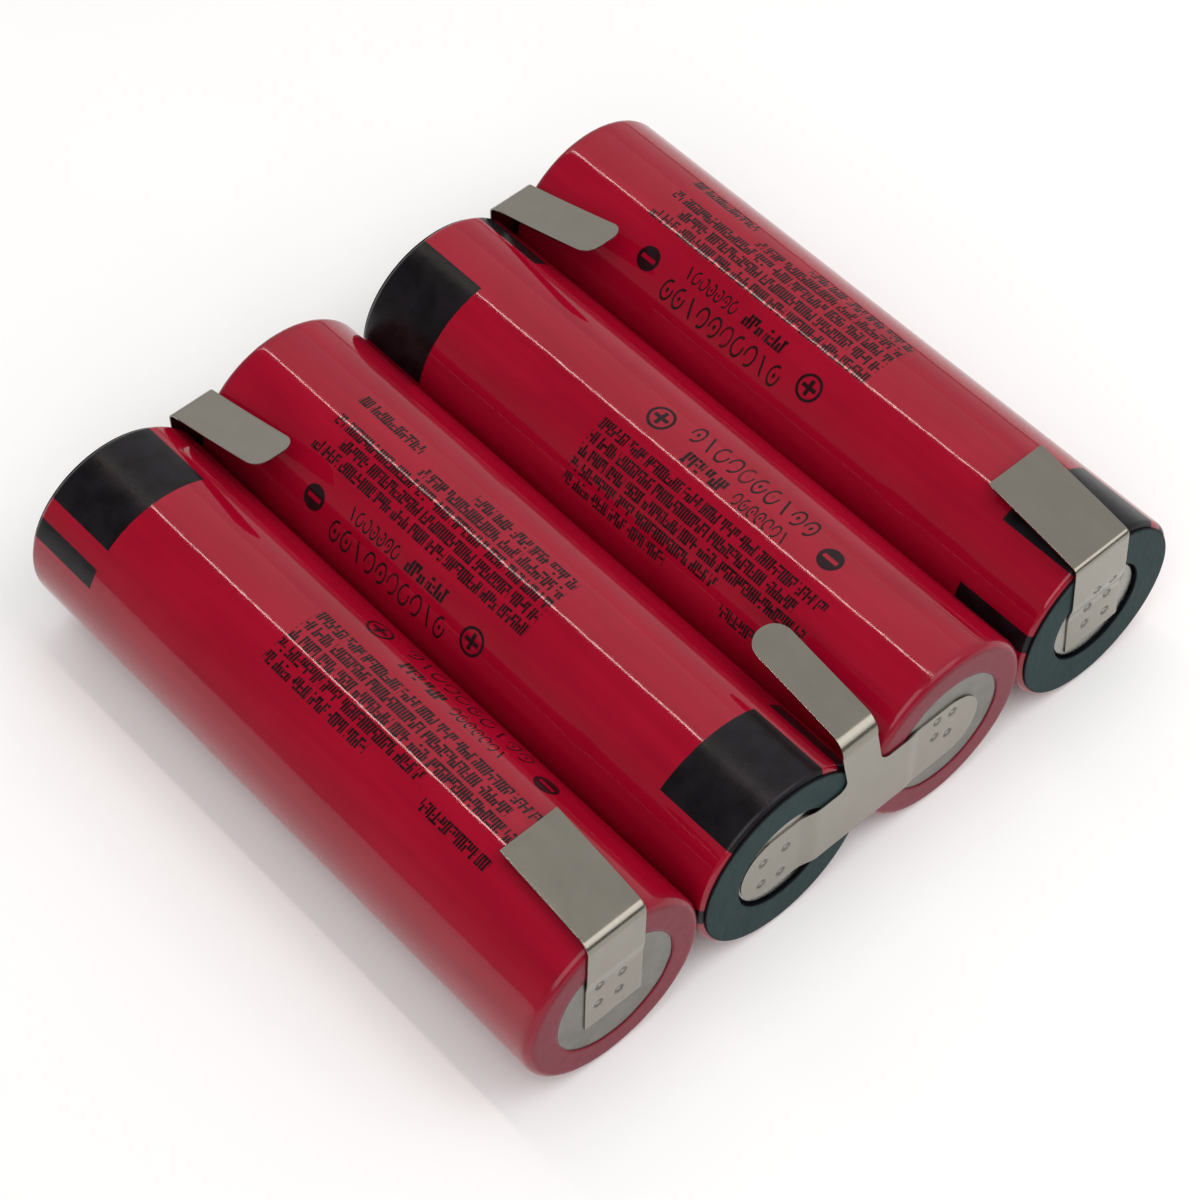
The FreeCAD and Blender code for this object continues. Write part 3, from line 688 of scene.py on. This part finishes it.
def steel_can(number):
    """Drawn steel can: rounded foot, rolled bead under the header and crimped mouth."""
    outer, wall, foot, top = 9.12, 0.25, 0.1, HEADER_TOP
    low, high, depth = 60.9, 63.15, 1.0
    foot_corner, top_corner = 0.78, 0.5
    bead_out = [(outer - depth * (0.5 - 0.5 * math.cos(math.tau * step)),
                 low + (high - low) * step) for step in spaced(0.0, 1.0, 12)]
    bead_in = [(radius - wall, height) for radius, height in reversed(bead_out)]
    profile = [(0.0, foot + 0.05), (2.6, foot + 0.05), (3.0, foot), (outer - 1.2, foot)]
    profile += arc((outer - foot_corner, foot + foot_corner), foot_corner, -90, 0, 8)
    profile += [(outer, 20.0), (outer, 40.0)]
    profile += bead_out
    profile += arc((outer - top_corner, top - top_corner), top_corner, 0, 90, 6)
    profile += [(7.3, top), (7.2, top - 0.05), (7.2, top - wall)]
    profile += [(outer - wall - 0.1, top - wall), (outer - wall, top - wall - 0.1)]
    profile += bead_in
    profile += [(outer - wall, 40.0), (outer - wall, 20.0), (outer - wall, foot + 0.9)]
    profile += [(outer - wall - 0.2, foot + 0.5), (outer - wall - 0.5, foot + 0.35)]
    profile += [(0.0, foot + 0.35)]
    bm = lathe(profile, 144, closed=False)
    lay_down(bm, number)
    return new_object("steel_can_%d" % number, bm, CAN_STEEL, "can_steel", "can_%d" % number)


def cap_profile():
    top, sheet, low, flange = HEADER_TOP, 0.4, 64.2, 8.4
    button, foot = 4.9, 5.3
    soft = 0.16
    profile = [(0.0, top - 0.02), (2.0, top - 0.02), (3.6, top)]
    profile += arc((button - soft, top - soft), soft, 90, 15, 4)
    profile += [(foot - 0.05, low + sheet + 0.08), (foot + 0.1, low + sheet)]
    profile += [(flange, low + sheet), (flange, low), (foot - sheet, low)]
    profile += [(button - sheet, top - sheet), (0.0, top - sheet)]
    return profile


def positive_cap(number):
    """The flat button on its flange."""
    bm = lathe(cap_profile(), 120, closed=False)
    lay_down(bm, number)
    return new_object("button_cap_%d" % number, bm, CAP_STEEL, "cap_steel",
                      "positive_cap_%d" % number)


# ---- nickel strip

# spacing of the cuts that let the sheet bend, and along its fold
GRID = 0.22
FOLD_GRID = 0.09
END_PLANE = CELL_LENGTH / 2 + 0.05
# how far a welded pad is pressed in on to the cap and on to the can's floor
CAP_DEPTH = 0.4
CAN_DEPTH = 0.15
WELD_SIZE = 0.62


def outline_face(corners, rounded):
    """A flat face in the XZ plane from its corners, some of them rounded off."""
    bm = bmesh.new()
    points = [bm.verts.new((across, 0.0, along)) for across, along in corners]
    bm.faces.new(points)
    for radius, chosen in rounded:
        places = [Vector((corners[index][0], 0.0, corners[index][1])) for index in chosen]
        targets = [vert for vert in bm.verts
                   if any((vert.co - place).length < 1e-4 for place in places)]
        bmesh.ops.bevel(bm, geom=targets, offset=radius, segments=12, affect="VERTICES",
                        profile=0.5, material=-1)
    return bm


def cut_grid(bm, strip):
    """Divides the flat sheet so that it can be bent and dented, finer along the fold."""
    xs = [vert.co.x for vert in bm.verts]
    zs = [vert.co.z for vert in bm.verts]
    for low, high, normal in ((min(xs), max(xs), Vector((1, 0, 0))),
                              (min(zs), max(zs), Vector((0, 0, 1)))):
        place = math.floor(low / GRID) * GRID + GRID
        uncut = bm.faces[:]
        while place < high - 0.02:
            verts = {vert for face in uncut for vert in face.verts}
            edges = {edge for face in uncut for edge in face.edges}
            made = bmesh.ops.bisect_plane(bm, geom=list(verts) + list(edges) + uncut, dist=1e-4,
                                          plane_co=normal * place, plane_no=normal)
            uncut = [item for item in made["geom"] if isinstance(item, bmesh.types.BMFace)
                     and item.calc_center_bounds().dot(normal) > place]
            in_fold = strip.start - GRID < place < strip.start + strip.arc_length
            place += FOLD_GRID if normal.z > 0.5 and in_fold else GRID


def give_thickness(bm):
    """Turns the flat sheet into a plate with softened edges, from y = 0 to -NICKEL_SHEET."""
    faces = bm.faces[:]
    made = bmesh.ops.extrude_face_region(bm, geom=faces)
    moved = [item for item in made["geom"] if isinstance(item, bmesh.types.BMVert)]
    bmesh.ops.translate(bm, verts=moved, vec=(0.0, -NICKEL_SHEET, 0.0))
    bmesh.ops.recalc_face_normals(bm, faces=bm.faces)
    rim = [edge for edge in bm.edges
           if len(edge.link_faces) == 2 and edge.calc_face_angle(0.0) > 1.2]
    bmesh.ops.bevel(bm, geom=rim, offset=0.035, segments=2, affect="EDGES", profile=0.5,
                    material=-1, clamp_overlap=True)


class Strip:
    """The shape of a folded strip: where a point of the flat sheet ends up.

    The flat sheet is in X (across) and Z (along), with Z measured from the cell axis up to the
    fold and on along the free leg. The strip lies outside y = 0 and folds over towards +Y.
    """

    def __init__(self, shape):
        fold_top, tip_top, tip_along = shape["fold_top"], shape["tip_top"], shape["tip_along"]
        bend = shape["bend"]
        self.slope = math.atan2(tip_top - fold_top, tip_along + NICKEL_SHEET)
        self.bend = bend
        self.curl = shape["curl"]
        self.rise, self.rise_length = shape["rise"], 5.0
        self.twist = shape["twist"]
        inner_line = fold_top - NICKEL_SHEET
        slant = math.tan(self.slope)
        self.start = inner_line + bend * slant - bend / math.cos(self.slope)
        self.turn = math.pi / 2 - self.slope
        self.middle = bend + NICKEL_SHEET / 2
        self.arc_length = self.middle * self.turn
        end_y = bend - bend * math.cos(self.turn)
        self.leg_length = (tip_along - end_y) / math.cos(self.slope)
        self.length = self.start + self.arc_length + self.leg_length

    def place(self, out, along):
        """(y, z) of a point that far out from the inner face and along the strip."""
        if along <= self.start:
            return -out, along
        past = along - self.start
        angle = min(past / self.middle, self.turn)
        reach = self.bend + out
        y = self.bend - reach * math.cos(angle)
        z = self.start + reach * math.sin(angle)
        if past > self.arc_length:
            run = past - self.arc_length
            y += run * math.cos(self.slope)
            z += run * math.sin(self.slope)
            ratio = run / self.leg_length
            z += self.curl * ratio * (ratio - 1.0) * 4.0
            z += self.rise * (1.0 - max(1.0 - run / self.rise_length, 0.0) ** 2)
        return y, z

    def warp(self, across, along):
        """How far the twist of the free leg lifts a point that far across from its middle."""
        if along < self.start:
            return 0.0
        return self.twist * across * smoothstep(self.start, self.length, along)


def dent(bm, welds, weld_layer):
    """Weld spots: a small pit with a burr round it, in a shallow dish that keeps it all sunk."""
    for vert in bm.verts:
        heat = 0.0
        sink = 0.0
        for across, along in welds:
            distance = math.hypot(vert.co.x - across, vert.co.z - along) / WELD_SIZE
            heat = max(heat, math.exp(-((distance - 0.6) ** 2) * 8.0))
            sink += 0.06 * math.exp(-(distance * distance) * 2.6)
            sink -= 0.014 * math.exp(-((distance - 1.25) ** 2) * 8.0)
            sink += 0.036 * math.exp(-(distance * distance) * 0.5)
        vert[weld_layer] = heat
        vert.co.y += sink


def nickel_piece(name, node, corners, rounded, strip, depth, lean, welds, middle, across, near):
    """Cuts, dents, folds and places one piece of strip.

    depth(x, z) is how far the sheet is pressed in towards the cell, lean(z) its shift across;
    middle is where the middle of the free leg lies across the sheet.
    """
    bm = outline_face(corners, rounded)
    cut_grid(bm, strip)
    give_thickness(bm)
    uv = bm.loops.layers.uv.new("strip")
    for face in bm.faces:
        for loop in face.loops:
            loop[uv].uv = (loop.vert.co.x, loop.vert.co.z)
    weld_layer = bm.verts.layers.float.new("weld")
    dent(bm, welds, weld_layer)
    for vert in bm.verts:
        flat_x, out, along = vert.co.x, -vert.co.y, vert.co.z
        pressed = depth(flat_x, along) if along < strip.start else 0.0
        y, z = strip.place(out, along)
        z += strip.warp(flat_x - middle, along)
        vert.co = Vector((flat_x + lean(along), y + pressed, z))
    bmesh.ops.recalc_face_normals(bm, faces=bm.faces)
    turn = 0.0 if near else math.pi
    along = -END_PLANE if near else END_PLANE
    matrix = Matrix.Translation((across, along, AXIS_HEIGHT)) @ Matrix.Rotation(turn, 4, "Z")
    bmesh.ops.transform(bm, matrix=matrix, verts=bm.verts)
    return new_object(name, bm, NICKEL, "nickel_strip", node)


def lean_between(*stops):
    """A steady shift across the strip that passes through the given (along, shift) stops."""
    def lean(along):
        if along <= stops[0][0]:
            return stops[0][1]
        for (low, first), (high, second) in zip(stops, stops[1:]):
            if along <= high:
                return first + (second - first) * (along - low) / (high - low)
        return stops[-1][1]
    return lean


def link(name, node, across, near, cap_side, shape):
    """A series link with its balance tap."""
    strip = Strip(shape)
    half, bar, shift = 3.6, 13.5, shape["bar_shift"]
    left, right = shape["tap"]
    corners = [(-bar + shift, -half), (bar + shift, -half), (bar + shift, half), (right, half),
               (right, strip.length), (left, strip.length), (left, half), (-bar + shift, half)]
    rounded = [(3.5, (0, 1, 2, 7)), (1.1, (3, 6)), (shape["tip_radius"], (4, 5))]
    pitch_half = CELL_PITCH / 2

    def depth(x, z):
        side = x * cap_side
        cap = smoothstep(pitch_half - 3.6, pitch_half - 1.6, side)
        can = smoothstep(pitch_half - 4.7, pitch_half - 3.2, -side)
        return CAP_DEPTH * cap + CAN_DEPTH * can

    lean = lean_between((half, 0.0), (strip.start, shape["fold_shift"]),
                        (strip.length, shape["tip_shift"]))
    return nickel_piece(name, node, corners, rounded, strip, depth, lean, shape["welds"],
                        (left + right) / 2, across, near)


def terminal(name, node, across, shape):
    """A terminal tab: pad, upright, fold and a square-cut free leg."""
    strip = Strip(shape)
    left, right = shape["leg"]
    foot = shape["foot"]
    corners = [(left, foot), (right, foot), (right, strip.length), (left, strip.length)]
    rounded = [(0.12, (0, 1, 2, 3))]

    def depth(x, z):
        return shape["depth"] * (1.0 - smoothstep(shape["ramp"][0], shape["ramp"][1], z))

    lean = lean_between((foot, shape["foot_shift"]), (strip.start, 0.0),
                        (strip.length, shape["tip_shift"]))
    return nickel_piece(name, node, corners, rounded, strip, depth, lean, shape["welds"],
                        (left + right) / 2, across, True)


# fold_top and tip_top are heights above the cell axis, tip_along the reach of the free leg from
# the end face; welds are (across, along) on the flat sheet
NEGATIVE_TERMINAL = {
    "fold_top": 9.88, "tip_top": 9.88, "tip_along": 11.15,
    "bend": 0.95, "curl": 0.02, "rise": 0.14,
    "leg": (-2.98, 3.05), "foot": -2.2, "foot_shift": -0.35, "tip_shift": 0.82, "twist": 0.01,
    "depth": CAN_DEPTH, "ramp": (3.0, 4.8),
    "welds": ((-1.5, 2.9), (-1.6, 0.4), (0.9, 2.4), (0.6, 0.1)),
}
POSITIVE_TERMINAL = {
    "fold_top": 9.4, "tip_top": 10.25, "tip_along": 10.85, "bend": 0.45, "curl": 0.0, "rise": 0.1,
    "leg": (-4.15, 2.35), "foot": -3.3, "foot_shift": 1.0, "tip_shift": 0.75, "twist": -0.01,
    "depth": CAP_DEPTH, "ramp": (1.2, 4.1),
    "welds": ((-1.1, 3.9), (0.9, 3.6), (-1.7, 1.4), (0.7, 1.3),
              (-1.9, -0.85), (0.67, -1.3)),
}
LINKS = {
    "link_1_2": {
        "fold_top": 7.25, "tip_top": 10.85, "tip_along": 12.45,
        "bend": 0.8, "curl": 0.12, "rise": 0.0,
        "bar_shift": 0.0, "tap": (-2.2, 2.2), "tip_radius": 1.5, "fold_shift": 0.0,
        "tip_shift": -0.25, "twist": 0.02,
        "welds": ((-10.3, 1.2), (-10.2, -1.3), (-8.2, 1.3), (-8.1, -1.2),
                  (8.3, 1.3), (8.2, -1.2), (10.2, 1.1), (10.3, -1.4)),
    },
    "link_2_3": {
        "fold_top": 10.05, "tip_top": 9.95, "tip_along": 13.0,
        "bend": 1.5, "curl": 0.05, "rise": 0.1,
        "bar_shift": -0.45, "tap": (-2.5, 1.4), "tip_radius": 1.9, "fold_shift": -0.95,
        "tip_shift": 0.42, "twist": 0.0,
        "welds": ((-11.55, 1.3), (-11.65, -1.7), (-9.0, 1.1), (-9.45, -2.1),
                  (8.05, 2.6), (9.85, 2.3), (7.9, 0.5), (9.55, -0.4)),
    },
    "link_3_4": {
        "fold_top": 7.15, "tip_top": 11.05, "tip_along": 13.05,
        "bend": 0.8, "curl": 0.1, "rise": 0.0,
        "bar_shift": 0.0, "tap": (-2.25, 2.25), "tip_radius": 1.5, "fold_shift": 0.0,
        "tip_shift": -0.35, "twist": -0.015,
        "welds": ((-10.1, 1.3), (-10.3, -1.1), (-8.0, 1.2), (-8.2, -1.3),
                  (8.1, 1.2), (8.3, -1.3), (10.1, 1.2), (10.4, -1.2)),
    },
}


# ---- glue


def glue_bead(number):
    """Hot glue squeezed into the groove under two cells, wavy along its lower face."""
    middle = (cell_centre(number) + cell_centre(number + 1)) / 2
    half_length, top_drop, bottom_drop = 24.0, 1.2, 3.5
    radius = AXIS_HEIGHT + 0.005  # just clear of the film
    section = []
    for side in (-1, 1):
        drops = spaced(top_drop, bottom_drop, 8)
        if side > 0:
            drops.reverse()
        for drop in drops:
            gap = CELL_PITCH / 2 - math.sqrt(radius * radius - drop * drop)
            section.append((side * gap, -drop))
        if side < 0:
            gap = abs(section[-1][0])
            for step in spaced(-0.75, 0.75, 6):
                section.append((gap * step, -bottom_drop - 0.05 * (1 - step * step)))
    bm = bmesh.new()
    points = [bm.verts.new((across, -half_length, along)) for across, along in section]
    ring = [bm.edges.new((points[index - 1], points[index])) for index in range(len(points))]
    bm.faces.new(points)
    steps = 120
    for _ in range(steps):
        made = bmesh.ops.extrude_edge_only(bm, edges=ring)
        moved = [item for item in made["geom"] if isinstance(item, bmesh.types.BMVert)]
        ring = [item for item in made["geom"] if isinstance(item, bmesh.types.BMEdge)
                and all(vert in moved for vert in item.verts)]
        bmesh.ops.translate(bm, verts=moved, vec=(0.0, 2 * half_length / steps, 0.0))
    bmesh.ops.contextual_create(bm, geom=ring)
    for vert in bm.verts:
        low = smoothstep(2.2, bottom_drop, -vert.co.z)
        wave = noise.noise(Vector((3.0 * number, vert.co.y * 0.35, 0.0)))
        vert.co.z += low * (0.25 + 0.25 * wave)
        limit = CELL_PITCH / 2 - math.sqrt(radius * radius - vert.co.z * vert.co.z)
        vert.co.x = max(-limit, min(limit, vert.co.x))
        taper = smoothstep(half_length - 1.5, half_length, abs(vert.co.y))
        vert.co.z += taper * 0.5 * low
    bmesh.ops.recalc_face_normals(bm, faces=bm.faces)
    bmesh.ops.translate(bm, verts=bm.verts, vec=(middle, 0.0, AXIS_HEIGHT))
    node = "glue_bead_%d_%d" % (number, number + 1)
    return new_object("glue_line_%d_%d" % (number, number + 1), bm, GLUE, "hot_glue", node)


# ---- stage, light and camera


def area_light(name, place, towards, size, radiance, glossy=True):
    """A rectangular soft light of an even radiance; size is (across, along Y)."""
    data = bpy.data.lights.new(name, "AREA")
    data.shape = "RECTANGLE"
    data.size, data.size_y = size
    data.energy = radiance * math.pi * size[0] * size[1]
    light = bpy.data.objects.new(name, data)
    bpy.context.collection.objects.link(light)
    back = (Vector(place) - Vector(towards)).normalized()
    along = Vector((0, 1, 0))
    along = (along - back * along.dot(back)).normalized()
    across = along.cross(back)
    turned = Matrix((across, along, back)).transposed().to_4x4()
    light.matrix_world = Matrix.Translation(place) @ turned
    light.visible_camera = False
    light.visible_glossy = glossy
    return light


def studio():
    bm = bmesh.new()
    bmesh.ops.create_grid(bm, x_segments=1, y_segments=1, size=6.0)
    mesh = bpy.data.meshes.new("floor")
    bm.to_mesh(mesh)
    bm.free()
    finish = Finish("pale_floor")
    tone = finish.noise(finish.place((0.02, 0.02, 0.02)), 1.0, 2.0)
    finish.set(Base_Color=finish.ramp(tone, (0.3, colour(0.84, 0.84, 0.84)),
                                      (0.7, colour(0.86, 0.86, 0.86))))
    finish.set(Roughness=0.7)
    mesh.materials.append(finish.material)
    floor = bpy.data.objects.new("floor", mesh)
    bpy.context.collection.objects.link(floor)

    # a broad panel fills the right-hand sky and a thin bar of light edges it
    area_light("upper_panel", (0.350, 0.6, 0.606), (0.0, 0.6, 0.0), (0.653, 2.6), 0.60)
    area_light("lower_panel", (0.662, 0.6, 0.228), (0.0, 0.6, 0.0), (0.400, 2.6), 0.40)
    bar = area_light("edge_bar", (0.105, 0.45, 0.92), (0.0, 0.45, 0.0), (0.017, 1.8), 16.0)
    bar.data.color = (1.0, 0.86, 0.78)
    area_light("front_panel", (0.33, -0.56, 0.66), (0.0, 0.0, 0.0), (0.5, 0.75), 1.65)
    # a soft light from above that doesn't show in the gloss, and one from the left that does
    area_light("top_fill", (-0.1, -0.1, 1.0), (0.0, 0.0, 0.0), (1.2, 1.2), 1.15, glossy=False)
    area_light("left_fill", (-0.62, -0.5, 0.85), (0.0, 0.0, 0.0), (1.0, 0.9), 2.2)
    world = bpy.data.worlds.new("studio")
    bpy.context.scene.world = world
    world.use_nodes = True
    nodes, links = world.node_tree.nodes, world.node_tree.links
    background = nodes["Background"]
    place = nodes.new("ShaderNodeTexCoord")
    parts = nodes.new("ShaderNodeSeparateXYZ")
    links.new(place.outputs["Generated"], parts.inputs[0])
    ramp = nodes.new("ShaderNodeValToRGB")
    marks = ramp.color_ramp.elements
    while len(marks) < 4:
        marks.new(0.5)
    for mark, (height, glow) in zip(marks, ((0.03, 0.3), (0.2, 0.25), (0.6, 0.12), (0.95, 0.08))):
        mark.position = height
        mark.color = (glow, glow, glow, 1.0)
    links.new(parts.outputs["Z"], ramp.inputs[0])
    links.new(ramp.outputs["Color"], background.inputs["Color"])


# where the camera stands: it looks down on the -X, -Y corner through a long lens
AIM = (-1.825, -2.130, 7.119)
AZIMUTH, ELEVATION, ROLL = -41.637, 53.115, -0.444
DISTANCE = 279.0
LENS = 96.43


def camera():
    azimuth, elevation, roll = (math.radians(angle) for angle in (AZIMUTH, ELEVATION, ROLL))
    back = Vector((math.sin(azimuth) * math.cos(elevation),
                   -math.cos(azimuth) * math.cos(elevation), math.sin(elevation)))
    right = Vector((0, 0, 1)).cross(back).normalized()
    up = back.cross(right)
    level = Matrix((right, up, back)).transposed()
    data = bpy.data.cameras.new("camera")
    data.lens = LENS
    data.sensor_width = 36.0
    data.clip_start, data.clip_end = 0.01, 50.0
    view = bpy.data.objects.new("camera", data)
    bpy.context.collection.objects.link(view)
    turned = level @ Matrix.Rotation(roll, 3, "Z")
    place = (Vector(AIM) + back * DISTANCE) * MM
    view.matrix_world = Matrix.Translation(place) @ turned.to_4x4()
    bpy.context.scene.camera = view
    bpy.context.scene.view_settings.view_transform = "Standard"


# ---- making


def make_pack():
    finish_hidden_nodes()
    for number in range(1, CELL_COUNT + 1):
        sleeve(number)
        insulator_ring(number)
        steel_can(number)
        positive_cap(number)
    terminal("nickel_negative_tab", "negative_terminal_tab", cell_centre(1), NEGATIVE_TERMINAL)
    terminal("nickel_positive_tab", "positive_terminal_tab", cell_centre(CELL_COUNT),
             POSITIVE_TERMINAL)
    link("nickel_link_1_2", "link_1_2", -CELL_PITCH, False, 1, LINKS["link_1_2"])
    link("nickel_link_2_3", "link_2_3", 0.0, True, -1, LINKS["link_2_3"])
    link("nickel_link_3_4", "link_3_4", CELL_PITCH, False, 1, LINKS["link_3_4"])
    for number in range(1, CELL_COUNT):
        glue_bead(number)


make_pack()
studio()
camera()
